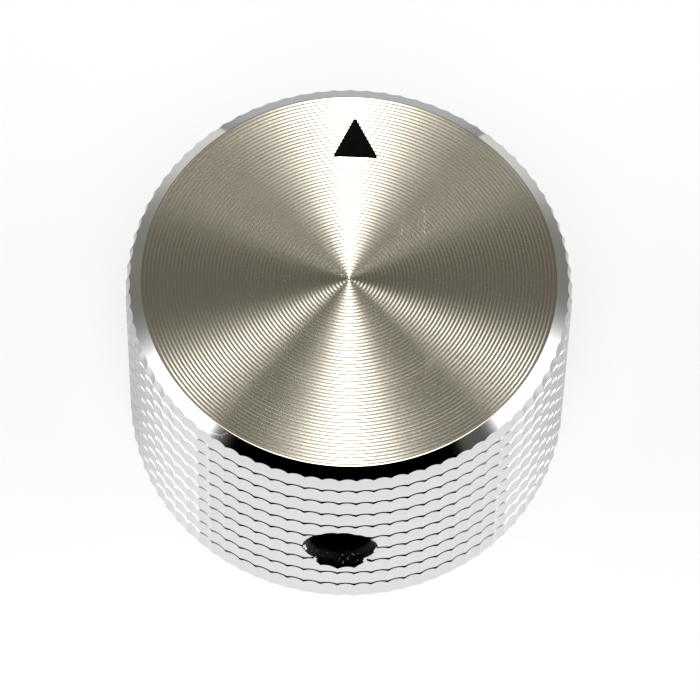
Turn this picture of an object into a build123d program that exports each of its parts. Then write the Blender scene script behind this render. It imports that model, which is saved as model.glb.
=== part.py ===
"""Control knob turned from one bar of aluminium, with its set screw and its enamelled pointer.

Millimetres. The knob turns about Z and stands on z = 0, its side hole faces -Y and its pointer points to +Y.
"""
import os
from math import cos, pi, radians, sin, tan

from build123d import *

# Body. A polished bevel runs out from the face, and a steeper shoulder joins it to the wall
body_diameter = 25.0
body_height = 15.3
face_diameter = 23.2
bevel_width = 0.72
bevel_drop = 0.47
shoulder_drop = 1.18
base_edge_break = 0.15

# Flutes cut along the wall, each a shallow hollow between two sharp crests
flute_count = 81
flute_depth = 0.095
flute_facets = 2

# V grooves turned round the wall, counted down from the face
groove_pitch = 1.524
groove_depth = 0.16
groove_angle = 90.0
first_groove_drop = 1.52
shortest_last_row = 0.7

# Underside: shaft bore, and the recess that clears the nut of what the shaft belongs to
bore_diameter = 6.1
bore_lead_in = 0.3
face_web = 2.8
nut_recess_diameter = 15.0
nut_recess_depth = 2.5

# Set screw, a headless screw with a hexagon socket and a cup point
screw_diameter = 4.0
screw_length = 5.0
screw_height = 6.1
screw_tip_gap = 0.1
screw_end_chamfer = 0.35
socket_across_flats = 2.0
socket_depth = 2.0
cup_diameter = 2.0
cup_depth = 0.5
thread_clearance = 0.05
hole_edge_break = 0.12

# Pointer, an engraved triangle filled with enamel
pointer_length = 2.62
pointer_width = 2.56
pointer_edge_gap = 1.27
pointer_depth = 0.3
pointer_corner_radius = 0.1
fill_drop = 0.04

# How far a cutting shape runs past the surface that it cuts
overcut = 0.5

body_radius = body_diameter / 2
face_radius = face_diameter / 2
bevel_edge_radius = face_radius + bevel_width
bore_radius = bore_diameter / 2
hole_radius = screw_diameter / 2 + thread_clearance


def polar(radius, angle):
    return (radius * cos(angle), radius * sin(angle))


def fluted_section(radius):
    """Cross-section of the grip: crests on the radius, hollows between them, a crest at -Y."""
    step = 2 * pi / flute_count
    points = []
    for flute in range(flute_count):
        for facet in range(flute_facets):
            share = facet / flute_facets
            hollow = flute_depth * (1 - (2 * share - 1) ** 2)
            angle = -pi / 2 + (flute + share) * step
            points.append(polar(radius * (1 - hollow / body_radius), angle))
    return make_face(Polyline(*points, close=True))


def fluted_blank():
    """Fluted bar, straight up to the shoulder and then drawn in towards the bevel."""
    straight = body_height - shoulder_drop
    lean = (body_radius - bevel_edge_radius) / (shoulder_drop - bevel_drop)
    foot = Pos(0, 0, straight) * fluted_section(body_radius)
    top = Pos(0, 0, body_height) * fluted_section(body_radius - shoulder_drop * lean)
    return extrude(fluted_section(body_radius), straight) + loft([foot, top], ruled=True)


def turned(points):
    """Solid of revolution about Z of a closed outline of (radius, height) points."""
    outline = make_face(Polyline(*points, close=True))
    return revolve(Plane.XZ * outline, Axis.Z)


def groove_heights():
    room = body_height - first_groove_drop - shortest_last_row
    count = int(room / groove_pitch) + 1
    return [body_height - first_groove_drop - i * groove_pitch for i in range(count)]


def grip_polygon(radius):
    """Regular polygon with one side to each flute and its corners on the crests."""
    step = 2 * pi / flute_count
    corners = [polar(radius, -pi / 2 + flute * step) for flute in range(flute_count)]
    return make_face(Polyline(*corners, close=True))


def tapered_core(root_radius, height, slope):
    """Core that stands on its wide end and narrows to root_radius, with one flat side to each flute."""
    foot_radius = root_radius + height * tan(radians(slope)) / cos(pi / flute_count)
    return extrude(grip_polygon(foot_radius), height, taper=slope)


def groove_cutter(height):
    """V ring: a disc less the two cores that meet at the root of the groove."""
    slope = groove_angle / 2
    reach = (groove_depth + overcut) / tan(radians(slope))
    core = tapered_core(body_radius - groove_depth, reach, slope)
    disc = Pos(0, 0, height) * Cylinder(body_radius + overcut / 2, 2 * reach)
    return disc - [Pos(0, 0, height - reach) * core, Pos(0, 0, height + reach) * mirror(core, Plane.XY)]


def bevel_cutter():
    """Ring that cuts the bevel: its inner side falls from the edge of the face through the edge of the shoulder."""
    steepness = bevel_drop / bevel_width
    inner = face_radius - overcut
    outer = body_radius + overcut
    top = body_height + overcut * steepness
    foot = body_height - (outer - face_radius) * steepness
    return turned([(inner, top), (outer, foot), (outer, top)])


def base_break_cutter():
    """Ring that takes the sharp edge off the foot of the wall at 45 degrees."""
    reach = base_edge_break + overcut
    core = mirror(tapered_core(body_radius - reach, reach, 45), Plane.XY)
    disc = Cylinder(body_radius + overcut / 2, reach, align=(Align.CENTER, Align.CENTER, Align.MIN))
    return Pos(0, 0, -overcut) * disc - Pos(0, 0, base_edge_break) * core


def underside_cutter():
    """Nut recess and blind shaft bore in one outline, with the lead-in between them."""
    recess_radius = nut_recess_diameter / 2
    bore_end = body_height - face_web
    return turned([
        (0, -overcut),
        (recess_radius, -overcut),
        (recess_radius, nut_recess_depth),
        (bore_radius + bore_lead_in, nut_recess_depth),
        (bore_radius, nut_recess_depth + bore_lead_in),
        (bore_radius, bore_end),
        (0, bore_end),
    ])


def along_side_hole(shape):
    """Carry a shape built up from z = 0 to the side hole: its z = 0 lies on the knob's axis, its top faces -Y."""
    return Pos(0, 0, screw_height) * Rot(90, 0, 0) * shape


def side_hole_cutter():
    mouth = body_radius - flute_depth
    reach = mouth + overcut
    return along_side_hole(turned([
        (0, 0),
        (hole_radius, 0),
        (hole_radius, mouth - hole_edge_break),
        (hole_radius + hole_edge_break + overcut, reach),
        (0, reach),
    ]))


def pointer_prism(low, high):
    """The pointer's triangle between two heights, tip outwards at +Y."""
    tip = face_radius - pointer_edge_gap
    foot = tip - pointer_length
    half = pointer_width / 2
    triangle = make_face(Polyline((0, tip), (-half, foot), (half, foot), close=True))
    rounded = fillet(triangle.vertices(), pointer_corner_radius)
    return Pos(0, 0, low) * extrude(rounded, high - low)


def make_body():
    rings = [groove_cutter(height) for height in groove_heights()]
    blank = fluted_blank() - (rings + [bevel_cutter(), base_break_cutter()])
    blank = blank - [underside_cutter(), side_hole_cutter()]
    return blank - pointer_prism(body_height - pointer_depth, body_height + overcut)


def make_set_screw():
    """Screw along the side hole, its cup just clear of the shaft and its socket outwards."""
    radius = screw_diameter / 2
    tip = bore_radius + screw_tip_gap
    end = tip + screw_length
    blank = turned([
        (0, tip + cup_depth),
        (cup_diameter / 2, tip),
        (radius - screw_end_chamfer, tip),
        (radius, tip + screw_end_chamfer),
        (radius, end - screw_end_chamfer),
        (radius - screw_end_chamfer, end),
        (0, end),
    ])
    corner_radius = socket_across_flats / 2 / cos(pi / 6)
    socket = extrude(RegularPolygon(corner_radius, 6), socket_depth + overcut)
    return along_side_hole(blank - Pos(0, 0, end - socket_depth) * socket)


def make_pointer_fill():
    return pointer_prism(body_height - pointer_depth, body_height - fill_drop)


parts = {
    "knob_body": make_body,
    "set_screw": make_set_screw,
    "pointer_fill": make_pointer_fill,
}

os.makedirs("parts", exist_ok=True)
for name, make in parts.items():
    export_step(make(), f"parts/{name}.step")
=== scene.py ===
"""Looks of a turned aluminium control knob: ring-turned face, polished bevel, fluted and grooved grip,
tapped side hole with its set screw, and an enamelled pointer. Laid out as an add-on and run as a script.

Metres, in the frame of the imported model: the knob stands on z = 0, its side hole faces -Y and its pointer
points to +Y.
"""
from math import ceil, cos, hypot, pi, radians, sin, tan, tau

import bmesh
import bpy
from bpy.props import FloatProperty, FloatVectorProperty, IntProperty, PointerProperty
from mathutils import Matrix, Vector


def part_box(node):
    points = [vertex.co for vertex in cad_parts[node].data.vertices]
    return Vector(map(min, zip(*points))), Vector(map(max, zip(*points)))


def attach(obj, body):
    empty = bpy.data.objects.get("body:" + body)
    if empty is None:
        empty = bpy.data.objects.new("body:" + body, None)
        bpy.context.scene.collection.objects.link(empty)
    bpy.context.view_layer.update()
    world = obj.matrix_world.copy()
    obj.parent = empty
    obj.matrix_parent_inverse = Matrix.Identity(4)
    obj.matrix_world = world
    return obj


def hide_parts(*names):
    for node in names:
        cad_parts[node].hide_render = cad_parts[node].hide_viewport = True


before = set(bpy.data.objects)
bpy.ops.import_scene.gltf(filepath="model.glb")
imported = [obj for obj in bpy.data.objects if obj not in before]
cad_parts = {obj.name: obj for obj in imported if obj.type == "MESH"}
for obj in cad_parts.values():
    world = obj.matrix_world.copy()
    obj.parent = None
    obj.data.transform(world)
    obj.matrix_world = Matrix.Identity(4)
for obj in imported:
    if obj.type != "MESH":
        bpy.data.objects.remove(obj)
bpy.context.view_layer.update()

bl_info = {
    "name": "Turned Control Knob",
    "version": (1, 0, 0),
    "blender": (4, 5, 0),
    "location": "3D View > Sidebar > Knob",
    "description": "Builds the looks of a turned aluminium control knob round its packed model",
    "category": "Object",
}

MM = 0.001
BODY = "root"

body_low, body_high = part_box("knob_body")
screw_low, screw_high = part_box("set_screw")
fill_low, fill_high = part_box("pointer_fill")


# Settings that a user would change


def length(name, description, default):
    return FloatProperty(
        name=name, description=description, default=default, min=0.0, max=1.0, unit="LENGTH", precision=5
    )


def level(name, description, default):
    return FloatProperty(name=name, description=description, default=default, min=0.0)


def tint(name, description, default):
    return FloatVectorProperty(
        name=name, description=description, default=default, size=3, min=0.0, max=1.0, subtype="COLOR"
    )


class KnobSizes(bpy.types.PropertyGroup):
    """Sizes of the turned body, of its side hole and of its pointer"""

    radius: length("Grip radius", "Radius over the crests of the flutes", body_high.x)
    height: length("Height", "From the underside to the face", body_high.z)
    bevel: length("Bevel", "From the edge of the face out to the crests", 0.9 * MM)
    bevel_flat: length("Bevel flat", "Width of the flat of the bevel, seen from above", 0.72 * MM)
    bevel_drop: length("Bevel drop", "How far the flat of the bevel falls", 0.47 * MM)
    shoulder_drop: length("Shoulder drop", "From the face to the foot of the bevel's shoulder", 1.18 * MM)
    flutes: IntProperty(name="Flutes", description="Hollows round the grip", default=81, min=3, max=400)
    flute_sides: IntProperty(
        name="Sides of a flute", description="Flat strips across one hollow", default=4, min=2, max=16
    )
    flute_depth: length("Flute depth", "From a crest to the bottom of a hollow", 0.095 * MM)
    crest_angle: FloatProperty(
        name="Crest angle",
        description="Where the first crest stands, from +X",
        default=radians(-90.68),
        subtype="ANGLE",
    )
    groove_pitch: length("Groove pitch", "Between two turned grooves of the grip", 1.524 * MM)
    groove_depth: length("Groove depth", "Of the V grooves, below the crests", 0.17 * MM)
    groove_follow: FloatProperty(
        name="Groove follow",
        description="Share of a hollow that the root of a groove follows",
        default=0.35,
        min=0.0,
        max=1.0,
    )
    first_groove: length("First groove", "From the face down to the first groove", 1.52 * MM)
    ring_pitch: length("Ring pitch", "Between two rings of the face", 0.2122 * MM)
    ring_depth: length("Ring depth", "From the top of a ring to the bottom of its flank", 0.0384 * MM)
    nut_recess: length("Nut recess radius", "Radius of the recess in the underside", 7.5 * MM)
    nut_recess_depth: length("Nut recess depth", "Depth of the recess in the underside", 2.5 * MM)
    bore_radius: length("Bore radius", "Radius of the shaft bore", 3.05 * MM)
    bore_end: length("Bore end", "Height of the blind end of the shaft bore", 12.5 * MM)
    hole_mouth: length("Hole mouth radius", "Radius of the side hole's edge break at the wall", 2.38 * MM)
    thread_pitch: length("Thread pitch", "Of the set screw and the hole that it runs in", 0.7 * MM)
    pointer_length: length("Pointer length", "From the foot of the pointer to its tip", 2.62 * MM)
    pointer_width: length("Pointer width", "Across the foot of the pointer", 2.56 * MM)
    pointer_rounding: length("Pointer rounding", "Radius of the pointer's corners", 0.1 * MM)
    pointer_skew: length("Pointer skew", "How far the foot lies towards +X of the tip", 0.1 * MM)


class KnobFinish(bpy.types.PropertyGroup):
    """Colours of the metals and the enamel"""

    face: tint("Face", "Ring-turned aluminium of the face", (0.87, 0.815, 0.69))
    grip: tint("Grip", "Polished aluminium of the bevel and the grip", (0.695, 0.705, 0.72))
    bored: tint("Bored metal", "Plain turned and tapped aluminium", (0.62, 0.62, 0.64))
    screw: tint("Screw", "Black oxide steel", (0.030, 0.030, 0.034))
    enamel: tint("Enamel", "Black enamel of the pointer", (0.002, 0.002, 0.002))


class KnobStudio(bpy.types.PropertyGroup):
    """Levels of the studio round the knob"""

    box_glow: level("Softboxes", "How bright the side softboxes look in the metal", 4.4)
    skirt_glow: level("Under the softboxes", "How bright what hangs under a softbox looks in the metal", 0.6)
    strip_glow: level("Overhead strip", "How bright the strip over the knob looks in the metal", 11.2)
    window_glow: level("Window", "How bright the narrow window behind the knob looks in the metal", 0.9)
    corner_glow: level("Corners", "How bright the corners beside that window look in the metal", 0.2)
    side_lamp: level("Side lamps", "Light of the softboxes on the floor and the enamel", 2.8)
    top_lamp: level("Top lamp", "Light of the strip on the floor and the enamel", 6.6)
    room: tint("Room", "Grey of the room that the metal reflects", (0.139, 0.134, 0.116))
    floor: tint("Floor", "Colour of the floor", (0.86, 0.86, 0.87))


# Nodes


class Sheet:
    """One node tree being filled. Values given to a node are joined to its sockets if they are sockets, and
    set on them if not."""

    def __init__(self, tree):
        self.tree = tree

    def add(self, kind, joined=None, **settings):
        node = self.tree.nodes.new(kind)
        for key, value in settings.items():
            setattr(node, key, value)
        for key, value in (joined or {}).items():
            if isinstance(value, bpy.types.NodeSocket):
                self.join(value, node.inputs[key])
            else:
                node.inputs[key].default_value = value
        return node

    def join(self, source, target):
        self.tree.links.new(source, target)

    def math(self, operation, *values):
        return self.add("ShaderNodeMath", dict(enumerate(values)), operation=operation).outputs[0]

    def vector_math(self, operation, *values, out=0):
        return self.add("ShaderNodeVectorMath", dict(enumerate(values)), operation=operation).outputs[out]

    def combine(self, x, y, z):
        return self.add("ShaderNodeCombineXYZ", {0: x, 1: y, 2: z}).outputs[0]

    def separate(self, vector):
        return self.add("ShaderNodeSeparateXYZ", {0: vector}).outputs

    def remap(self, value, low, high, to_low=0.0, to_high=1.0):
        joined = {"Value": value, "From Min": low, "From Max": high, "To Min": to_low, "To Max": to_high}
        return self.add("ShaderNodeMapRange", joined, clamp=True).outputs["Result"]

    def fade(self, value, edge, width):
        """1 well below the edge, 0 well above it, smooth between."""
        steps = self.math("MINIMUM", self.math("DIVIDE", self.math("SUBTRACT", value, edge), width), 60.0)
        return self.math("DIVIDE", 1.0, self.math("ADD", self.math("EXPONENT", steps), 1.0))

    def rise(self, value, edge, width):
        """0 well below the edge, 1 well above it, smooth between."""
        return self.math("SUBTRACT", 1.0, self.fade(value, edge, width))

    def product(self, first, *others):
        for other in others:
            first = self.math("MULTIPLY", first, other)
        return first

    def mix_colour(self, share, first, second):
        return self.add("ShaderNodeMix", {0: share, 6: first, 7: second}, data_type="RGBA").outputs[2]


def new_tree(name, kind, inputs, outputs):
    """A node group with named sockets. inputs and outputs hold (name, socket type, default)."""
    tree = bpy.data.node_groups.new(name, kind)
    for in_out, rows in (("INPUT", inputs), ("OUTPUT", outputs)):
        for label, socket_type, default in rows:
            socket = tree.interface.new_socket(label, in_out=in_out, socket_type=socket_type)
            if default is not None:
                socket.default_value = default
    sheet = Sheet(tree)
    return tree, sheet, sheet.add("NodeGroupInput").outputs, sheet.add("NodeGroupOutput")


GEOMETRY = ("Geometry", "NodeSocketGeometry", None)


def metres(label, default):
    return (label, "NodeSocketFloat", default)


def whole(label, default):
    return (label, "NodeSocketInt", default)


def finish_tree(sheet, geometry, finishes, output):
    """Real geometry, then one Set Material for each (material socket, selection)."""
    geometry = sheet.add("GeometryNodeRealizeInstances", {"Geometry": geometry}).outputs[0]
    for material, selection in finishes:
        joined = {"Geometry": geometry, "Material": material}
        if selection is not None:
            joined["Selection"] = selection
        geometry = sheet.add("GeometryNodeSetMaterial", joined).outputs[0]
    sheet.join(geometry, output.inputs["Geometry"])


def unrolled_grid(sheet, rows, row_length):
    """A grid to be rolled up into a turned body, with the row and the column of each of its points."""
    joined = {"Size X": 1.0, "Size Y": 1.0, "Vertices X": rows, "Vertices Y": row_length}
    grid = sheet.add("GeometryNodeMeshGrid", joined).outputs[0]
    index = sheet.add("GeometryNodeInputIndex").outputs[0]
    row = sheet.math("FLOOR", sheet.math("DIVIDE", sheet.math("ADD", index, 0.5), row_length))
    column = sheet.math("SUBTRACT", index, sheet.math("MULTIPLY", row, row_length))
    return grid, row, column


def rolled_up(sheet, grid, x, y, z):
    """The grid with its points put in place and its seam and its poles closed."""
    placed = sheet.add("GeometryNodeSetPosition", {"Geometry": grid, "Position": sheet.combine(x, y, z)})
    closed = sheet.add("GeometryNodeMergeByDistance", {"Geometry": placed.outputs[0], "Distance": 1.0e-7})
    return closed.outputs[0]


def lathe_tree():
    """Sweeps an outline, given as points with a radius and a height, round Z, and cuts the flutes into what
    stands outside them."""
    tree, sheet, given, output = new_tree(
        "turned_and_fluted",
        "GeometryNodeTree",
        [
            GEOMETRY,
            whole("Flutes", 81),
            whole("Sides of a flute", 4),
            metres("Grip radius", 0.0125),
            metres("Flute depth", 0.0001),
            ("Crest angle", "NodeSocketFloat", 0.0),
            metres("Face height", 0.0153),
            metres("Face radius", 0.0116),
            metres("Plain radius", 0.012),
            ("Face", "NodeSocketMaterial", None),
            ("Grip", "NodeSocketMaterial", None),
            ("Underside", "NodeSocketMaterial", None),
        ],
        [GEOMETRY],
    )
    outline = given["Geometry"]
    size = sheet.add("GeometryNodeAttributeDomainSize", {"Geometry": outline}, component="MESH")
    columns = sheet.math("MULTIPLY", given["Flutes"], given["Sides of a flute"])
    grid, row, column = unrolled_grid(sheet, size.outputs["Point Count"], sheet.math("ADD", columns, 1.0))

    def sampled(name):
        value = sheet.add("GeometryNodeInputNamedAttribute", {"Name": name}, data_type="FLOAT")
        joined = {"Geometry": outline, "Value": value.outputs["Attribute"], "Index": row}
        return sheet.add("GeometryNodeSampleIndex", joined, data_type="FLOAT", domain="POINT").outputs[0]

    flute = sheet.math("DIVIDE", column, given["Sides of a flute"])
    across = sheet.math("MULTIPLY_ADD", sheet.math("FRACT", flute), 2.0, -1.0)
    hollow = sheet.math("SUBTRACT", 1.0, sheet.math("MULTIPLY", across, across))
    wall = sheet.math("SUBTRACT", given["Grip radius"], sheet.math("MULTIPLY", hollow, given["Flute depth"]))
    radius = sampled("radius")
    sunk = sheet.math("SUBTRACT", given["Grip radius"], wall)
    followed = sheet.math("SUBTRACT", radius, sheet.math("MULTIPLY", sunk, sampled("follow")))
    kept = sheet.math("MINIMUM", followed, sheet.math("SUBTRACT", wall, sampled("inset")))
    moved_in = sheet.math("SUBTRACT", radius, kept)
    height = sheet.math("MULTIPLY_ADD", moved_in, sampled("lean"), sampled("height"))
    turn = sheet.math("MULTIPLY", sheet.math("FRACT", sheet.math("DIVIDE", flute, given["Flutes"])), tau)
    angle = sheet.math("ADD", turn, given["Crest angle"])
    x = sheet.math("MULTIPLY", kept, sheet.math("COSINE", angle))
    y = sheet.math("MULTIPLY", kept, sheet.math("SINE", angle))
    closed = rolled_up(sheet, grid, x, y, height)

    place = sheet.separate(sheet.add("GeometryNodeInputPosition").outputs[0])
    flat = sheet.combine(place[0], place[1], 0.0)
    out = sheet.vector_math("LENGTH", flat, out=1)

    def within(radius):
        return sheet.math("LESS_THAN", out, given[radius])

    def under_face(depth):
        return sheet.math("SUBTRACT", given["Face height"], depth)

    deeper_than_rings, deeper_than_bevel = 0.06 * MM, 1.5 * MM
    high = sheet.math("GREATER_THAN", place[2], under_face(deeper_than_rings))
    on_face = sheet.math("MULTIPLY", within("Face radius"), high)
    inside = sheet.math("MULTIPLY", within("Plain radius"), sheet.math("SUBTRACT", 1.0, on_face))
    under = sheet.math("MULTIPLY", inside, sheet.math("LESS_THAN", place[2], under_face(deeper_than_bevel)))
    finishes = [(given["Grip"], None), (given["Face"], on_face), (given["Underside"], under)]
    finish_tree(sheet, closed, finishes, output)
    return tree


def thread_tree():
    """A closed threaded rod along -Y. Its end towards the wall may flare, as a tapped hole's edge break does,
    or be chamfered."""
    tree, sheet, given, output = new_tree(
        "threaded_rod",
        "GeometryNodeTree",
        [
            GEOMETRY,
            metres("Start", 0.003),
            metres("End", 0.008),
            metres("Axis height", 0.006),
            metres("Root radius", 0.0016),
            metres("Crest radius", 0.002),
            metres("Pitch", 0.0007),
            metres("Chamfer", 0.0),
            metres("Flare radius", 0.0),
            metres("Flare at", 0.0),
            whole("Rows", 100),
            whole("Sides", 36),
            ("Finish", "NodeSocketMaterial", None),
        ],
        [GEOMETRY],
    )
    rows = sheet.math("ADD", given["Rows"], 3.0)
    grid, row, column = unrolled_grid(sheet, rows, sheet.math("ADD", given["Sides"], 1.0))
    share = sheet.remap(sheet.math("SUBTRACT", row, 1.0), 0.0, given["Rows"])
    span = sheet.math("SUBTRACT", given["End"], given["Start"])
    along = sheet.math("MULTIPLY_ADD", share, span, given["Start"])
    turn = sheet.math("FRACT", sheet.math("DIVIDE", column, given["Sides"]))
    phase = sheet.math("FRACT", sheet.math("ADD", sheet.math("DIVIDE", along, given["Pitch"]), turn))
    ridge = sheet.math("ABSOLUTE", sheet.math("MULTIPLY_ADD", phase, 2.0, -1.0))
    flat = 0.12
    profile = sheet.remap(ridge, flat, 1.0 - flat)
    depth = sheet.math("SUBTRACT", given["Crest radius"], given["Root radius"])
    threaded = sheet.math("MULTIPLY_ADD", profile, depth, given["Root radius"])
    flare = sheet.math("ADD", given["Flare radius"], sheet.math("SUBTRACT", along, given["Flare at"]))
    flared = sheet.math("MAXIMUM", threaded, flare)
    from_start = sheet.math("SUBTRACT", along, given["Start"])
    to_end = sheet.math("MINIMUM", from_start, sheet.math("SUBTRACT", given["End"], along))
    cone = sheet.math("ADD", sheet.math("SUBTRACT", given["Crest radius"], given["Chamfer"]), to_end)
    without_chamfer = sheet.math("LESS_THAN", given["Chamfer"], 1.0e-9)
    limit = sheet.math("ADD", cone, without_chamfer)
    bounded = sheet.math("MINIMUM", flared, limit)
    not_last = sheet.math("LESS_THAN", row, sheet.math("SUBTRACT", rows, 1.5))
    inner = sheet.math("MULTIPLY", sheet.math("GREATER_THAN", row, 0.5), not_last)
    radius = sheet.math("MULTIPLY", bounded, inner)
    angle = sheet.math("MULTIPLY", turn, tau)
    x = sheet.math("MULTIPLY", radius, sheet.math("COSINE", angle))
    z = sheet.math("MULTIPLY_ADD", radius, sheet.math("SINE", angle), given["Axis height"])
    y = sheet.math("MULTIPLY", along, -1.0)
    outwards = sheet.add("GeometryNodeFlipFaces", {"Mesh": rolled_up(sheet, grid, x, y, z)})
    finish_tree(sheet, outwards.outputs[0], [(given["Finish"], None)], output)
    return tree


# Meshes


def put_in_scene(name, mesh):
    piece = bpy.data.objects.new(name, mesh)
    bpy.context.scene.collection.objects.link(piece)
    return piece


def plain_mesh(piece, name):
    """The evaluated mesh of a piece, as a mesh of its own. The piece that carried the modifiers goes."""
    for modifier in piece.modifiers:
        modifier.show_viewport = True
    depsgraph = bpy.context.evaluated_depsgraph_get()
    mesh = bpy.data.meshes.new_from_object(
        piece.evaluated_get(depsgraph), preserve_all_data_layers=False, depsgraph=depsgraph
    )
    carrier = piece.data
    bpy.data.objects.remove(piece)
    bpy.data.meshes.remove(carrier)
    mesh.name = name
    return mesh


def grown(name, tree, values, mesh=None):
    """Mesh that a geometry tree makes from a carrier mesh and from the values of its named inputs."""
    carrier = put_in_scene(name, mesh or bpy.data.meshes.new(name))
    modifier = carrier.modifiers.new(tree.name, "NODES")
    modifier.node_group = tree
    for item in tree.interface.items_tree:
        if item.item_type == "SOCKET" and item.in_out == "INPUT" and item.name in values:
            modifier[item.identifier] = values[item.name]
    mesh = plain_mesh(carrier, name)
    drop_empty_slots(mesh)
    return mesh


def drop_empty_slots(mesh):
    """Takes out the carrier's own empty material slot. The faces keep their finishes."""
    old = list(mesh.materials)
    kept = [material for material in old if material]
    places = [kept.index(material) if material else 0 for material in old]
    indices = [places[face.material_index] if places else 0 for face in mesh.polygons]
    mesh.materials.clear()
    for material in kept:
        mesh.materials.append(material)
    mesh.polygons.foreach_set("material_index", indices)


def cut(piece, cutters):
    """Piece less its cutters, as a new plain mesh."""
    for cutter in cutters:
        modifier = piece.modifiers.new("cut", "BOOLEAN")
        modifier.operation = "DIFFERENCE"
        modifier.solver = "MANIFOLD"
        modifier.object = cutter
    mesh = plain_mesh(piece, piece.name)
    for cutter in cutters:
        data = cutter.data
        bpy.data.objects.remove(cutter)
        bpy.data.meshes.remove(data)
    return mesh


def smooth_but_for(mesh, degrees):
    mesh.shade_smooth()
    mesh.set_sharp_from_angle(angle=radians(degrees))


def check_closed(mesh):
    """Stops the script if a mesh is open or inside out."""
    shape = bmesh.new()
    shape.from_mesh(mesh)
    loose = sum(1 for edge in shape.edges if len(edge.link_faces) != 2)
    volume = shape.calc_volume(signed=True)
    faces = sum(len(face.verts) - 2 for face in shape.faces)
    shape.free()
    print(mesh.name, "open edges", loose, "volume mm3", round(volume / MM**3, 2), "triangles", faces)
    if loose or volume <= 0:
        raise RuntimeError(f"{mesh.name} is open or inside out")


# Body


def face_outline(sizes):
    """The rings of the face from the centre out. From its crest each falls steeply, runs level for a little
    and climbs to the next."""
    rim = sizes.radius - sizes.bevel
    top, low, pitch = sizes.height, sizes.height - sizes.ring_depth, sizes.ring_pitch
    fallen, climbing, least = 0.39 * pitch, 0.49 * pitch, 0.74 * pitch
    lip = rim - 0.04 * MM
    points = [(0.0, low)]
    crest = pitch / 2
    while crest + least < lip:
        points += [(crest, top), (crest + fallen, low), (crest + climbing, low)]
        crest += pitch
    points.append((lip, top))
    return [(r, z, 0.0, 0.0, 0.0) for r, z in points]


def grip_outline(sizes):
    """Bevel, shoulder, lands and V grooves from the face down to the foot of the wall.
    Follow, inset and lean say how each point goes in and up or down with the flutes."""
    wall, soft, rim_break, half_root = sizes.radius, 0.022 * MM, 0.012 * MM, 0.008 * MM
    rim = wall - sizes.bevel
    edge = rim + sizes.bevel_flat
    fall = sizes.bevel_drop / sizes.bevel_flat
    points = [
        (rim + rim_break, sizes.height - rim_break * fall, 0.0, 0.0, 0.0),
        (edge, sizes.height - sizes.bevel_drop, fall, 0.0, 1.0),
    ]
    steps = 4
    for step in range(1, steps + 1):
        left = 1 - step / steps
        drop = sizes.shoulder_drop - left * (sizes.shoulder_drop - sizes.bevel_drop)
        points.append((wall - (wall - edge) * left**2, sizes.height - drop, 0.0, 0.0, 1.0))
    deep, follow = sizes.groove_depth, sizes.groove_follow
    middle, lowest = sizes.height - sizes.first_groove, 0.7 * MM
    while middle > lowest:
        points += [
            (wall, middle + deep, follow - 1, 0.0, 0.0),
            (wall - deep, middle + half_root, 0.0, 0.0, follow),
            (wall - deep, middle - half_root, 0.0, 0.0, follow),
            (wall - soft, middle - deep + soft, 1 - follow, soft, 0.0),
            (wall, middle - deep - soft, 1 - follow, 0.0, 0.0),
        ]
        middle -= sizes.groove_pitch
    foot_break = 0.15 * MM
    return points + [(wall, foot_break, -1.0, 0.0, 0.0), (wall - foot_break, 0.0, 0.0, 0.0, 0.0)]


def underside_outline(sizes):
    """From the foot of the wall over the underside, the nut recess and the bore to the centre of its end."""
    recess, bore = sizes.nut_recess, sizes.bore_radius
    floor, end = sizes.nut_recess_depth, sizes.bore_end
    edge, lead, corner = 0.12 * MM, 0.3 * MM, 0.15 * MM
    points = [
        (10.6 * MM, 0.0),
        (recess + edge, 0.0),
        (recess, edge),
        (recess, floor - corner),
        (recess - 0.3 * corner, floor - 0.3 * corner),
        (recess - corner, floor),
        (bore + lead, floor),
        (bore, floor + lead),
        (bore, 7.0 * MM),
        (bore, end - corner),
        (bore - 0.3 * corner, end - 0.3 * corner),
        (bore - corner, end),
        (1.2 * MM, end),
        (0.6 * MM, end + 0.12 * MM),
        (0.0, end + 0.2 * MM),
    ]
    return [(r, z, 0.0, 0.0, 0.0) for r, z in points]


def outline_mesh(rows):
    """A mesh with one point for each row of the outline, which carries the row's values."""
    mesh = bpy.data.meshes.new("outline")
    mesh.from_pydata([(row[0], 0.0, row[1]) for row in rows], [(i, i + 1) for i in range(len(rows) - 1)], [])
    for name, values in zip(("radius", "height", "lean", "inset", "follow"), zip(*rows)):
        mesh.attributes.new(name, "FLOAT", "POINT").data.foreach_set("value", values)
    return mesh


def rounded_triangle(sizes, steps=5):
    """Outline of the pointer, anticlockwise, with its corners rounded."""
    half, long, rounding = sizes.pointer_width / 2, sizes.pointer_length, sizes.pointer_rounding
    tip = fill_high.y + rounding * (hypot(half, long) / half - 1)
    foot, aside = tip - long, sizes.pointer_skew
    corners = [Vector((0, tip)), Vector((aside - half, foot)), Vector((aside + half, foot))]
    points = []
    for i, corner in enumerate(corners):
        to_last = (corners[i - 1] - corner).normalized()
        to_next = (corners[(i + 1) % 3] - corner).normalized()
        spread = to_last.angle(to_next) / 2
        inward = (to_last + to_next).normalized()
        centre = corner + inward * (rounding / sin(spread))
        start = corner + to_last * (rounding / tan(spread)) - centre
        sweep = pi - 2 * spread
        for step in range(steps + 1):
            turn = Matrix.Rotation(sweep * step / steps, 2)
            points.append(centre + turn @ start)
    return points


def prism(name, outline, low, high):
    """Closed straight-sided solid on an outline."""
    count = len(outline)
    points = [(p.x, p.y, z) for z in (low, high) for p in outline]
    sides = [(i, (i + 1) % count, (i + 1) % count + count, i + count) for i in range(count)]
    mesh = bpy.data.meshes.new(name)
    mesh.from_pydata(points, [], [tuple(reversed(range(count))), tuple(range(count, 2 * count)), *sides])
    return mesh


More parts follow.
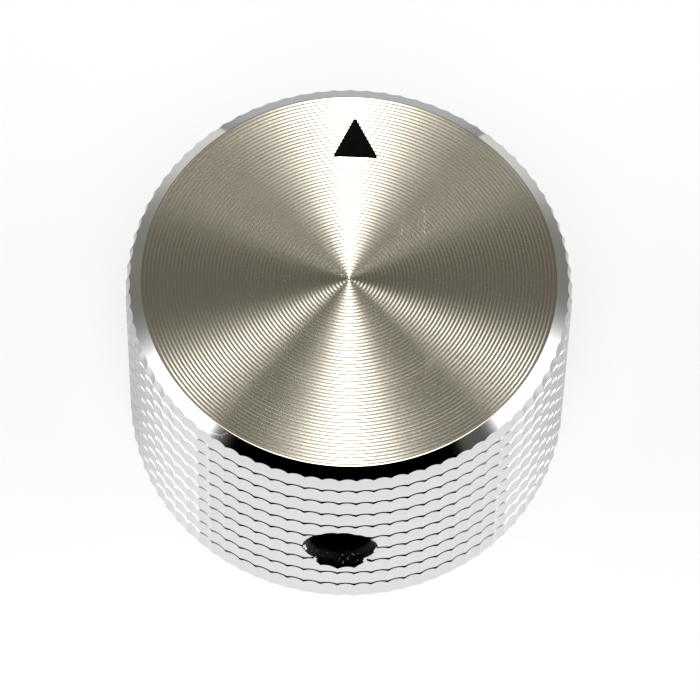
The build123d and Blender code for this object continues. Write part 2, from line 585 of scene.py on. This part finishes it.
def tapped_hole(sizes, tree):
    """Cutter for the side hole, from inside the bore to beyond the wall, with the screw's thread on it."""
    start, end = 1.2 * MM, sizes.radius + 0.3 * MM
    axis = (screw_low.z + screw_high.z) / 2
    values = {
        "Start": start,
        "End": end,
        "Axis height": axis,
        "Root radius": 1.66 * MM,
        "Crest radius": 2.12 * MM,
        "Pitch": sizes.thread_pitch,
        "Flare radius": sizes.hole_mouth,
        "Flare at": sizes.radius,
        "Rows": ceil((end - start) / sizes.thread_pitch * 12),
        "Sides": 36,
    }
    return put_in_scene("hole_cutter", grown("hole_cutter", tree, values))


def name_hole_faces(mesh, sizes, index):
    """Faces between the bore and the wall are the hole's: the body is solid there. They take the finish with
    this index."""
    inner, outer = sizes.bore_radius + 0.03 * MM, sizes.radius - 0.22 * MM
    low, high = 3.0 * MM, 10.0 * MM
    for face in mesh.polygons:
        if inner < hypot(face.center.x, face.center.y) < outer and low < face.center.z < high:
            face.material_index = index


def ready(piece, nodes):
    """What every finished piece needs: it rides on the body and stands for its nodes."""
    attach(piece, BODY)
    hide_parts(*nodes)


class KNOB_OT_turn_body(bpy.types.Operator):
    """Turns the body from its outline, flutes the grip, taps the side hole and sinks the pointer's pocket"""

    bl_idname = "knob.turn_body"
    bl_label = "Body"

    def execute(self, context):
        sizes, finish = context.scene.knob_sizes, context.scene.knob_finish
        face, grip, underside, thread = ring_turned(finish), polished(finish), bored(finish), tapped(finish)
        rows = face_outline(sizes) + grip_outline(sizes) + underside_outline(sizes)
        values = {
            "Flutes": sizes.flutes,
            "Sides of a flute": sizes.flute_sides,
            "Grip radius": sizes.radius,
            "Flute depth": sizes.flute_depth,
            "Crest angle": sizes.crest_angle,
            "Face height": sizes.height,
            "Face radius": sizes.radius - sizes.bevel - 0.01 * MM,
            "Plain radius": sizes.radius - 0.2 * MM,
            "Face": face,
            "Grip": grip,
            "Underside": underside,
        }
        blank = grown("knob_body_looks", lathe_tree(), values, outline_mesh(rows))
        for metal in (face, grip, underside, thread):
            if metal.name not in blank.materials:
                blank.materials.append(metal)
        check_closed(blank)
        tree = thread_tree()
        pocket = put_in_scene(
            "pocket_cutter",
            prism("pocket_cutter", rounded_triangle(sizes), fill_low.z, sizes.height + 0.2 * MM),
        )
        piece = put_in_scene("knob_body_looks", blank)
        mesh = cut(piece, [tapped_hole(sizes, tree), pocket])
        name_hole_faces(mesh, sizes, list(mesh.materials).index(thread))
        smooth_but_for(mesh, 17)
        check_closed(mesh)
        ready(put_in_scene("knob_body_looks", mesh), ["knob_body"])
        return {"FINISHED"}


# Set screw


def hexagon(radius, axis, start, end, name):
    """Hexagonal prism along -Y, for the socket."""
    points = []
    for along in (start, end):
        for i in range(6):
            angle = i * pi / 3
            points.append((radius * cos(angle), -along, axis + radius * sin(angle)))
    sides = [(i, (i + 1) % 6, (i + 1) % 6 + 6, i + 6) for i in range(6)]
    mesh = bpy.data.meshes.new(name)
    mesh.from_pydata(points, [], [tuple(reversed(range(6))), tuple(range(6, 12)), *sides])
    return mesh


def cone_plug(name, axis, rings, sides=36):
    """Turned cutter along -Y, given as rings of (distance from the knob's axis, radius). A radius of 0 is a
    point."""
    shape = bmesh.new()
    turns = [tau * i / sides for i in range(sides)]
    loops = []
    for along, radius in rings:
        spots = [(radius * cos(turn), -along, axis + radius * sin(turn)) for turn in turns]
        loops.append([shape.verts.new(spot) for spot in (spots if radius else [(0, -along, axis)])])
    for first, second in zip(loops, loops[1:]):
        for i in range(sides):
            j = (i + 1) % sides
            corners = [(first, i), (first, j), (second, j), (second, i)]
            shape.faces.new(list(dict.fromkeys(loop[k % len(loop)] for loop, k in corners)))
    for loop in (loops[0], loops[-1]):
        if len(loop) > 1:
            shape.faces.new(loop)
    bmesh.ops.recalc_face_normals(shape, faces=shape.faces)
    mesh = bpy.data.meshes.new(name)
    shape.to_mesh(mesh)
    shape.free()
    return mesh


class KNOB_OT_set_screw(bpy.types.Operator):
    """Makes the threaded set screw with its hexagon socket and its cup point"""

    bl_idname = "knob.set_screw"
    bl_label = "Set screw"

    def execute(self, context):
        sizes, finish = context.scene.knob_sizes, context.scene.knob_finish
        axis = (screw_low.z + screw_high.z) / 2
        tip, end = -screw_high.y, -screw_low.y
        # Known fault: "Flare at" isn't given, so the rod swells to about 4 mm radius inside the body
        values = {
            "Start": tip,
            "End": end,
            "Axis height": axis,
            "Root radius": 1.58 * MM,
            "Crest radius": screw_high.x - 0.03 * MM,
            "Pitch": sizes.thread_pitch,
            "Chamfer": 0.35 * MM,
            "Rows": ceil((end - tip) / sizes.thread_pitch * 16),
            "Sides": 48,
            "Finish": black_oxide(finish),
        }
        rod = grown("set_screw_looks", bpy.data.node_groups["threaded_rod"], values)
        across = 1.0 * MM
        corner, drill = across / cos(pi / 6), 0.92 * across
        floor_at = end - 2.0 * MM
        plugs = {
            "socket_mouth": [(end + 0.1 * MM, corner + 0.2 * MM), (end - 0.25 * MM, corner - 0.15 * MM)],
            "socket_drill": [(floor_at + 0.2 * MM, drill), (floor_at, drill), (floor_at - 0.45 * MM, 0)],
            "cup": [(tip - 0.1 * MM, 1.1 * MM), (tip + 0.5 * MM, 0)],
        }
        cutters = [put_in_scene("socket", hexagon(corner, axis, end + 0.3 * MM, floor_at, "socket"))]
        cutters += [put_in_scene(name, cone_plug(name, axis, rings)) for name, rings in plugs.items()]
        for cutter in cutters:
            turn_outwards(cutter.data)
        mesh = cut(put_in_scene("set_screw_looks", rod), cutters)
        smooth_but_for(mesh, 32)
        check_closed(mesh)
        ready(put_in_scene("set_screw_looks", mesh), ["set_screw"])
        return {"FINISHED"}


def turn_outwards(mesh):
    shape = bmesh.new()
    shape.from_mesh(mesh)
    bmesh.ops.recalc_face_normals(shape, faces=shape.faces)
    shape.to_mesh(mesh)
    shape.free()


# Pointer


class KNOB_OT_pointer_fill(bpy.types.Operator):
    """Fills the pointer's pocket with enamel that has drawn down a little and creeps up its edge"""

    bl_idname = "knob.pointer_fill"
    bl_label = "Pointer"

    def execute(self, context):
        sizes, finish = context.scene.knob_sizes, context.scene.knob_finish
        outline = rounded_triangle(sizes, 8)
        centre = sum(outline, Vector((0, 0))) / len(outline)
        low, high = fill_low.z, fill_high.z
        drawn_down = ((0.96, 0.008), (0.88, 0.016), (0.6, 0.020), (0.3, 0.021))
        rings = [(1.0, low), (1.0, high)] + [(share, high - drop * MM) for share, drop in drawn_down]
        count = len(outline)
        points = []
        for share, z in rings:
            for p in outline:
                near = centre + (p - centre) * share
                points.append((near.x, near.y, z))
        steps = [(i, (i + 1) % count) for i in range(count)]
        faces = [tuple(reversed(range(count)))]
        for ring in range(len(rings) - 1):
            base = ring * count
            faces += [(base + i, base + j, base + j + count, base + i + count) for i, j in steps]
        top = (len(rings) - 1) * count
        points.append((centre.x, centre.y, rings[-1][1]))
        faces += [(top + i, top + j, len(points) - 1) for i, j in steps]
        mesh = bpy.data.meshes.new("pointer_fill_looks")
        mesh.from_pydata(points, [], faces)
        mesh.materials.append(enamel(finish))
        smooth_but_for(mesh, 40)
        check_closed(mesh)
        ready(put_in_scene("pointer_fill_looks", mesh), ["pointer_fill"])
        return {"FINISHED"}


# Finishes


def turning_lines():
    """Fine tool lines round Z: a height that changes only with the distance from the axis."""
    tree, sheet, given, output = new_tree(
        "turning_lines",
        "ShaderNodeTree",
        [metres("Spacing", 0.0001), ("Unevenness", "NodeSocketFloat", 0.5)],
        [("Height", "NodeSocketFloat", None)],
    )
    place = sheet.separate(sheet.add("ShaderNodeTexCoord").outputs["Object"])
    out = sheet.vector_math("LENGTH", sheet.combine(place[0], place[1], 0.0), out=1)
    line = sheet.math("DIVIDE", out, given["Spacing"])
    wave = sheet.math("PINGPONG", line, 0.5)
    joined = {"W": sheet.math("MULTIPLY", line, 1.7), "Scale": 1.0, "Detail": 2.0}
    uneven = sheet.add("ShaderNodeTexNoise", joined, noise_dimensions="1D")
    height = sheet.math("MULTIPLY_ADD", uneven.outputs[0], given["Unevenness"], wave)
    sheet.join(height, output.inputs["Height"])
    return tree


def handling_marks():
    """Specks of lint and short fine scratches, as two masks."""
    tree, sheet, given, output = new_tree(
        "handling_marks",
        "ShaderNodeTree",
        [
            ("Speck scale", "NodeSocketFloat", 1500.0),
            ("Speck size", "NodeSocketFloat", 0.05),
            ("Scratch scale", "NodeSocketFloat", 300.0),
        ],
        [("Specks", "NodeSocketFloat", None), ("Scratches", "NodeSocketFloat", None)],
    )
    place = sheet.add("ShaderNodeTexCoord").outputs["Object"]
    cells = sheet.add("ShaderNodeTexVoronoi", {"Vector": place, "Scale": given["Speck scale"]})
    near = sheet.math("LESS_THAN", cells.outputs["Distance"], given["Speck size"])
    rare = sheet.math("GREATER_THAN", sheet.separate(cells.outputs["Color"])[0], 0.55)
    sheet.join(sheet.math("MULTIPLY", near, rare), output.inputs["Specks"])
    drawn_out = {"Vector": place, "Rotation": (0.0, 0.0, 0.7), "Scale": (1.0, 0.04, 1.0)}
    joined = {"Vector": sheet.add("ShaderNodeMapping", drawn_out).outputs[0], "Scale": given["Scratch scale"]}
    lines = sheet.add("ShaderNodeTexVoronoi", joined, feature="DISTANCE_TO_EDGE")
    thin = sheet.math("LESS_THAN", lines.outputs["Distance"], 0.006)
    patch = sheet.add("ShaderNodeTexNoise", {"Vector": place, "Scale": 220.0, "Detail": 1.0})
    some = sheet.math("GREATER_THAN", patch.outputs[0], 0.62)
    sheet.join(sheet.math("MULTIPLY", thin, some), output.inputs["Scratches"])
    return tree


def new_finish(name, **settings):
    """A material with its Principled shader, whose plain values are set on the sockets."""
    material = bpy.data.materials.new(name)
    material.use_nodes = True
    sheet = Sheet(material.node_tree)
    shader = material.node_tree.nodes["Principled BSDF"]
    for key, value in settings.items():
        shader.inputs[key.replace("_", " ")].default_value = value
    return material, sheet, shader


def use_group(sheet, make, **values):
    """A node of the shader group that make builds under its own name, built when first asked for."""
    node = sheet.add("ShaderNodeGroup", node_tree=bpy.data.node_groups.get(make.__name__) or make())
    for key, value in values.items():
        node.inputs[key.replace("_", " ")].default_value = value
    return node.outputs


def rgba(colour, factor=1.0):
    return (*(channel * factor for channel in colour), 1.0)


def bumped(sheet, shader, height, distance):
    bump = sheet.add("ShaderNodeBump", {"Height": height, "Distance": distance, "Strength": 1.0})
    sheet.join(bump.outputs[0], shader.inputs["Normal"])


def ring_turned(finish):
    """The face: bright metal whose fine tool lines spread each highlight away from the centre."""
    material, sheet, shader = new_finish("ring_turned_aluminium", Metallic=1.0, Anisotropic=1.0)
    marks = use_group(sheet, handling_marks, Speck_scale=2100.0, Speck_size=0.05, Scratch_scale=330.0)
    colour = sheet.mix_colour(marks["Specks"], rgba(finish.face), (1.0, 1.0, 1.0, 1.0))
    sheet.join(colour, shader.inputs["Base Color"])
    lines = use_group(sheet, turning_lines, Spacing=0.043 * MM, Unevenness=0.8)
    rough = sheet.remap(lines["Height"], 0.0, 1.2, 0.12, 0.155)
    sheet.join(sheet.math("MULTIPLY_ADD", marks["Scratches"], 0.05, rough), shader.inputs["Roughness"])
    bumped(sheet, shader, lines["Height"], 0.0006 * MM)
    place = sheet.add("ShaderNodeTexCoord").outputs["Object"]
    outwards = sheet.vector_math("NORMALIZE", sheet.vector_math("MULTIPLY", place, (1.0, 1.0, 0.0)))
    sheet.join(outwards, shader.inputs["Tangent"])
    return material


def polished(finish):
    """The bevel and the grip: near mirror, with a faint haze and fine wipe marks."""
    material, sheet, shader = new_finish("polished_aluminium", Metallic=1.0)
    marks = use_group(sheet, handling_marks, Speck_scale=900.0, Speck_size=0.04, Scratch_scale=260.0)
    colour = sheet.mix_colour(marks["Specks"], rgba(finish.grip), rgba(finish.grip, 0.75))
    sheet.join(colour, shader.inputs["Base Color"])
    place = sheet.add("ShaderNodeTexCoord").outputs["Object"]
    haze = sheet.add("ShaderNodeTexNoise", {"Vector": place, "Scale": 420.0, "Detail": 3.0})
    rough = sheet.remap(haze.outputs[0], 0.35, 0.7, 0.02, 0.045)
    sheet.join(sheet.math("MULTIPLY_ADD", marks["Scratches"], 0.1, rough), shader.inputs["Roughness"])
    return material


def bored(finish):
    """The underside, the recess and the bore: plain turned metal with open tool lines."""
    material, sheet, shader = new_finish("bored_aluminium", Metallic=1.0)
    lines = use_group(sheet, turning_lines, Spacing=0.09 * MM, Unevenness=1.2)
    ridges = sheet.remap(lines["Height"], 0.2, 1.3)
    colour = sheet.mix_colour(ridges, rgba(finish.bored, 0.9), rgba(finish.bored, 1.15))
    sheet.join(colour, shader.inputs["Base Color"])
    sheet.join(sheet.remap(lines["Height"], 0.0, 1.3, 0.22, 0.36), shader.inputs["Roughness"])
    bumped(sheet, shader, lines["Height"], 0.006 * MM)
    return material


def tapped(finish):
    """The thread in the side hole: torn metal, with painted shade inwards and painted glints at the mouth."""
    material, sheet, shader = new_finish("tapped_aluminium_painted_shade_and_glints", Metallic=1.0)
    place = sheet.add("ShaderNodeTexCoord").outputs["Object"]
    torn = sheet.add("ShaderNodeTexNoise", {"Vector": place, "Scale": 5200.0, "Detail": 3.0}).outputs[0]
    # painted shade: the colour darkens from the mouth of the hole inwards, nearly to black, where shade falls
    depth = sheet.remap(sheet.separate(place)[1], -12.4 * MM, -11.3 * MM)
    dark = sheet.mix_colour(depth, rgba(finish.bored, 0.02), rgba(finish.bored, 0.004))
    # painted glints: bluish-white spots on the thread near the mouth stand in for highlights
    outer = sheet.math("SUBTRACT", 1.0, depth)
    glint_mask = sheet.math("MULTIPLY", sheet.math("GREATER_THAN", torn, 0.66), outer)
    # the painted shade with the painted glints mixed in
    bright = sheet.mix_colour(glint_mask, dark, (0.55, 0.60, 0.75, 1.0))
    sheet.join(bright, shader.inputs["Base Color"])
    sheet.join(sheet.remap(torn, 0.3, 0.7, 0.3, 0.6), shader.inputs["Roughness"])
    bumped(sheet, shader, torn, 0.01 * MM)
    return material


def black_oxide(finish):
    """The set screw: blackened steel, worn to metal on the high spots of the thread."""
    material, sheet, shader = new_finish("black_oxide_steel", Metallic=1.0)
    place = sheet.add("ShaderNodeTexCoord").outputs["Object"]
    worn = sheet.add("ShaderNodeTexNoise", {"Vector": place, "Scale": 2600.0, "Detail": 4.0}).outputs[0]
    bare = sheet.remap(worn, 0.58, 0.75, 0.0, 0.5)
    colour = sheet.mix_colour(bare, rgba(finish.screw), (0.22, 0.22, 0.23, 1.0))
    sheet.join(colour, shader.inputs["Base Color"])
    sheet.join(sheet.remap(worn, 0.3, 0.7, 0.42, 0.3), shader.inputs["Roughness"])
    bumped(sheet, shader, worn, 0.004 * MM)
    return material


def enamel(finish):
    """The pointer: gloss black enamel with a faint orange-peel skin and a few specks of dust."""
    material, sheet, shader = new_finish("black_enamel", Specular_IOR_Level=0.05)
    marks = use_group(sheet, handling_marks, Speck_scale=2600.0, Speck_size=0.035, Scratch_scale=330.0)
    colour = sheet.mix_colour(marks["Specks"], rgba(finish.enamel), (0.05, 0.05, 0.055, 1.0))
    sheet.join(colour, shader.inputs["Base Color"])
    place = sheet.add("ShaderNodeTexCoord").outputs["Object"]
    skin = sheet.add("ShaderNodeTexNoise", {"Vector": place, "Scale": 2400.0, "Detail": 2.0}).outputs[0]
    sheet.join(sheet.remap(skin, 0.3, 0.7, 0.22, 0.32), shader.inputs["Roughness"])
    bumped(sheet, shader, skin, 0.004 * MM)
    return material


# Studio


def direction(azimuth, elevation):
    """Unit vector towards a place in the studio. Azimuth runs anticlockwise from +X, both in degrees."""
    a, e = radians(azimuth), radians(elevation)
    return Vector((cos(a) * cos(e), sin(a) * cos(e), sin(e)))


def lamp(name, azimuth, elevation, distance, wide, tall, brightness):
    """A rectangular softbox that faces the knob. Its width and height are angles seen from the knob."""
    light = bpy.data.lights.new(name, "AREA")
    light.shape = "RECTANGLE"
    light.size = 2 * distance * tan(radians(wide) / 2)
    light.size_y = 2 * distance * tan(radians(tall) / 2)
    light.energy = brightness * pi * light.size * light.size_y
    piece = put_in_scene(name, light)
    out = direction(azimuth, elevation)
    aimed_at = Vector((0, 0, 12.0 * MM))
    turn = out.to_track_quat("Z", "Y").to_matrix().to_4x4()
    piece.matrix_world = Matrix.Translation(aimed_at + out * distance) @ turn
    piece.visible_camera = False
    piece.visible_glossy = False


def glow(name, colour_at):
    """A stage material that shines with the colour that colour_at builds on its sheet."""
    material = bpy.data.materials.new(name)
    material.use_nodes = True
    material.cycles.emission_sampling = "NONE"
    nodes = material.node_tree.nodes
    nodes.remove(nodes["Principled BSDF"])
    sheet = Sheet(material.node_tree)
    emission = sheet.add("ShaderNodeEmission", {"Color": colour_at(sheet), "Strength": 1.0})
    sheet.join(emission.outputs[0], nodes["Material Output"].inputs["Surface"])
    return material


def room_shell(studio):
    """The studio as the metal reflects it: a grey room with a bright sweep low down, dark behind the camera,
    a softbox on each side, a strip overhead and a narrow window at the back. Nothing else sees it."""
    shape = bmesh.new()
    bmesh.ops.create_uvsphere(shape, u_segments=64, v_segments=32, radius=1.6)
    bmesh.ops.reverse_faces(shape, faces=shape.faces)
    mesh = bpy.data.meshes.new("room")
    shape.to_mesh(mesh)
    shape.free()

    def colour_at(sheet):
        outwards = sheet.vector_math("NORMALIZE", sheet.add("ShaderNodeTexCoord").outputs["Object"])
        place = sheet.separate(outwards)
        x, y, z = place[0], place[1], place[2]
        forward = sheet.math("MULTIPLY", y, -1.0)
        beside = sheet.math("ABSOLUTE", x)
        height = sheet.math("ARCSINE", z)
        least = 0.05

        from_front = sheet.math("ARCTAN2", beside, forward)
        dark_edge = sheet.remap(height, radians(30), radians(42), radians(46), radians(53))
        dark_top = sheet.fade(height, radians(56), radians(1.2))
        dark = sheet.product(sheet.fade(from_front, dark_edge, radians(1.0)), dark_top)
        lit = sheet.math("SUBTRACT", 1.0, dark)
        walls = sheet.product(sheet.remap(height, radians(18), radians(34), 1.89, 0.90), lit)
        sweep = sheet.product(sheet.fade(height, radians(7.6), radians(1.8)), lit)
        grey = sheet.mix_colour(sweep, (0.0, 0.0, 0.0, 1.0), (0.60, 0.60, 0.59, 1.0))
        shaded = {0: rgba(studio.room)[:3], "Scale": walls}
        room = sheet.add("ShaderNodeVectorMath", shaded, operation="SCALE").outputs[0]

        arch = sheet.math("ARCTAN2", z, forward)
        across = sheet.math("DIVIDE", x, sheet.math("MAXIMUM", z, least))
        aside = sheet.math("ABSOLUTE", sheet.math("SUBTRACT", across, 0.02))
        strip = sheet.product(
            studio.strip_glow,
            sheet.fade(aside, 0.021, 0.087),
            sheet.fade(arch, radians(109), radians(1.6)),
            sheet.fade(sheet.math("MULTIPLY", arch, -1.0), radians(-58), radians(0.5)),
        )

        away = sheet.math("MAXIMUM", beside, least)
        back = sheet.math("DIVIDE", y, away)
        up = sheet.math("DIVIDE", z, away)
        front = sheet.math("MULTIPLY", back, -1.0)
        boxes = []
        layout = ((-1.0, 0.005, 0.55, 1.21, 0.203), (1.0, 0.18, 0.36, 1.02, 0.02))
        for side, back_edge, front_edge, top, bottom in layout:
            on_side = sheet.math("GREATER_THAN", sheet.math("MULTIPLY", x, side), 0.0)
            skirt = sheet.fade(up, bottom, 0.02)
            less = studio.skirt_glow - studio.box_glow
            boxes.append(
                sheet.product(
                    sheet.math("MULTIPLY_ADD", skirt, less, studio.box_glow),
                    on_side,
                    sheet.fade(back, back_edge, 0.07),
                    sheet.fade(front, front_edge, 0.035),
                    sheet.fade(up, top, 0.05),
                )
            )

        from_back = sheet.math("ARCTAN2", beside, y)
        window = sheet.product(
            studio.window_glow,
            sheet.fade(from_back, radians(4.5), radians(3)),
            sheet.fade(height, radians(34), radians(2)),
        )
        corners = sheet.product(
            studio.corner_glow,
            sheet.rise(from_back, radians(18), radians(2)),
            sheet.fade(from_back, radians(38), radians(3)),
            sheet.rise(height, radians(26), radians(1.5)),
            sheet.fade(height, radians(37), radians(2)),
        )
        fill = sheet.math("ADD", window, corners)
        lamps = sheet.math("ADD", sheet.math("ADD", strip, fill), sheet.math("ADD", *boxes))
        unlit = sheet.vector_math("ADD", room, grey)
        return sheet.vector_math("ADD", unlit, sheet.combine(lamps, lamps, lamps))

    mesh.materials.append(glow("room_reflections", colour_at))
    room = put_in_scene("room", mesh)
    room.visible_camera = False
    room.visible_shadow = False
    room.visible_diffuse = False


def seen_or_mirrored(sheet, path):
    """1 on the rays that reach the camera straight, by way of a mirror or through glass, 0 on all others."""
    passed_on = sheet.math("MAXIMUM", path["Is Glossy Ray"], path["Is Transmission Ray"])
    return sheet.math("MAXIMUM", path["Is Camera Ray"], passed_on)


def floor(studio):
    """A pale floor. What the camera sees of it is mostly its own plain white, and the rest keeps the knob's
    shadow."""
    half, z = 3.0, -0.002 * MM
    corners = [(-half, -half, z), (half, -half, z), (half, half, z), (-half, half, z)]
    mesh = bpy.data.meshes.new("floor")
    mesh.from_pydata(corners, [], [(0, 1, 2, 3)])
    material = bpy.data.materials.new("floor_paper_painted_shadow")
    material.use_nodes = True
    nodes = material.node_tree.nodes
    nodes.remove(nodes["Principled BSDF"])
    sheet = Sheet(material.node_tree)
    paper = sheet.add("ShaderNodeBsdfDiffuse", {"Color": rgba(studio.floor)})
    place = sheet.separate(sheet.add("ShaderNodeTexCoord").outputs["Object"])
    path = sheet.add("ShaderNodeLightPath").outputs
    # painted shadow: the white that the metal mirrors fades to about half from 8 mm to 2 mm in front of the
    # axis, and stays so behind it
    beside = sheet.remap(place[1], -8.0 * MM, -2.0 * MM, 1.0, 0.52)
    shine_with_painted_shadow = sheet.math("MAXIMUM", beside, path["Is Camera Ray"])
    white = sheet.add("ShaderNodeEmission", {"Color": (1.0, 1.0, 1.0, 1.0), "Strength": shine_with_painted_shadow})
    share = sheet.math("MULTIPLY", seen_or_mirrored(sheet, path), 0.65)
    mixed = sheet.add("ShaderNodeMixShader", {0: share, 1: paper.outputs[0], 2: white.outputs[0]})
    sheet.join(mixed.outputs[0], nodes["Material Output"].inputs["Surface"])
    mesh.materials.append(material)
    put_in_scene("floor", mesh)


def backdrop():
    """White behind everything, for the camera and for what mirrors it."""
    world = bpy.data.worlds.new("backdrop")
    world.use_nodes = True
    bpy.context.scene.world = world
    background = world.node_tree.nodes["Background"]
    sheet = Sheet(world.node_tree)
    path = sheet.add("ShaderNodeLightPath").outputs
    sheet.join(sheet.math("MULTIPLY", seen_or_mirrored(sheet, path), 0.95), background.inputs["Strength"])
    background.inputs["Color"].default_value = (1.0, 1.0, 1.0, 1.0)


def camera(sizes):
    """Long lens above the front edge, as far away and turned as the photograph shows."""
    elevation, roll, swing = radians(63.186), 0.0232, radians(0.65)
    distance, aside, below = 26.485, -0.0109, 0.3183
    focal_length, photo_width = 5939.08, 700
    unit = 12.5 * MM
    back = Vector((0, -cos(elevation), sin(elevation)))
    right = Vector((1, 0, 0))
    up = back.cross(right)
    centre = Vector((0, 0, sizes.height))
    place = centre + unit * (distance * back - aside * right - below * up)
    across = cos(roll) * right + sin(roll) * up
    upright = -sin(roll) * right + cos(roll) * up
    turn = Matrix((across, upright, back)).transposed().to_4x4()
    data = bpy.data.cameras.new("camera")
    data.sensor_width = 36.0
    data.lens = data.sensor_width * focal_length / photo_width
    data.clip_start, data.clip_end = 0.01, 20.0
    piece = put_in_scene("camera", data)
    piece.matrix_world = Matrix.Rotation(swing, 4, "Z") @ Matrix.Translation(place) @ turn
    bpy.context.scene.camera = piece


class KNOB_OT_studio(bpy.types.Operator):
    """Sets up the floor, the room, the softboxes and the camera"""

    bl_idname = "knob.studio"
    bl_label = "Studio"

    def execute(self, context):
        studio = context.scene.knob_studio
        floor(studio)
        room_shell(studio)
        backdrop()
        for name, azimuth in (("left_softbox", 190.0), ("right_softbox", -10.0)):
            lamp(name, azimuth, 35.0, distance=0.6, wide=44.0, tall=44.0, brightness=studio.side_lamp)
        lamp("overhead_strip", -90.0, 66.0, distance=0.7, wide=26.0, tall=46.0, brightness=studio.top_lamp)
        camera(context.scene.knob_sizes)
        context.scene.view_settings.view_transform = "Standard"
        return {"FINISHED"}


class KNOB_PT_panel(bpy.types.Panel):
    """Lists the knob's settings and the steps that build it"""

    bl_label = "Control Knob"
    bl_idname = "KNOB_PT_panel"
    bl_space_type = "VIEW_3D"
    bl_region_type = "UI"
    bl_category = "Knob"

    def draw(self, context):
        layout = self.layout
        for settings in (context.scene.knob_sizes, context.scene.knob_finish, context.scene.knob_studio):
            column = layout.column()
            for name in settings.__annotations__:
                column.prop(settings, name)
        for step in STEPS:
            layout.operator(step.bl_idname)


STEPS = (KNOB_OT_turn_body, KNOB_OT_set_screw, KNOB_OT_pointer_fill, KNOB_OT_studio)
CLASSES = (KnobSizes, KnobFinish, KnobStudio, *STEPS, KNOB_PT_panel)


def register():
    for item in CLASSES:
        bpy.utils.register_class(item)
    bpy.types.Scene.knob_sizes = PointerProperty(type=KnobSizes)
    bpy.types.Scene.knob_finish = PointerProperty(type=KnobFinish)
    bpy.types.Scene.knob_studio = PointerProperty(type=KnobStudio)


def unregister():
    del bpy.types.Scene.knob_sizes, bpy.types.Scene.knob_finish, bpy.types.Scene.knob_studio
    for item in reversed(CLASSES):
        bpy.utils.unregister_class(item)


def main():
    register()
    bpy.ops.knob.turn_body()
    bpy.ops.knob.set_screw()
    bpy.ops.knob.pointer_fill()
    bpy.ops.knob.studio()


if __name__ == "__main__":
    main()
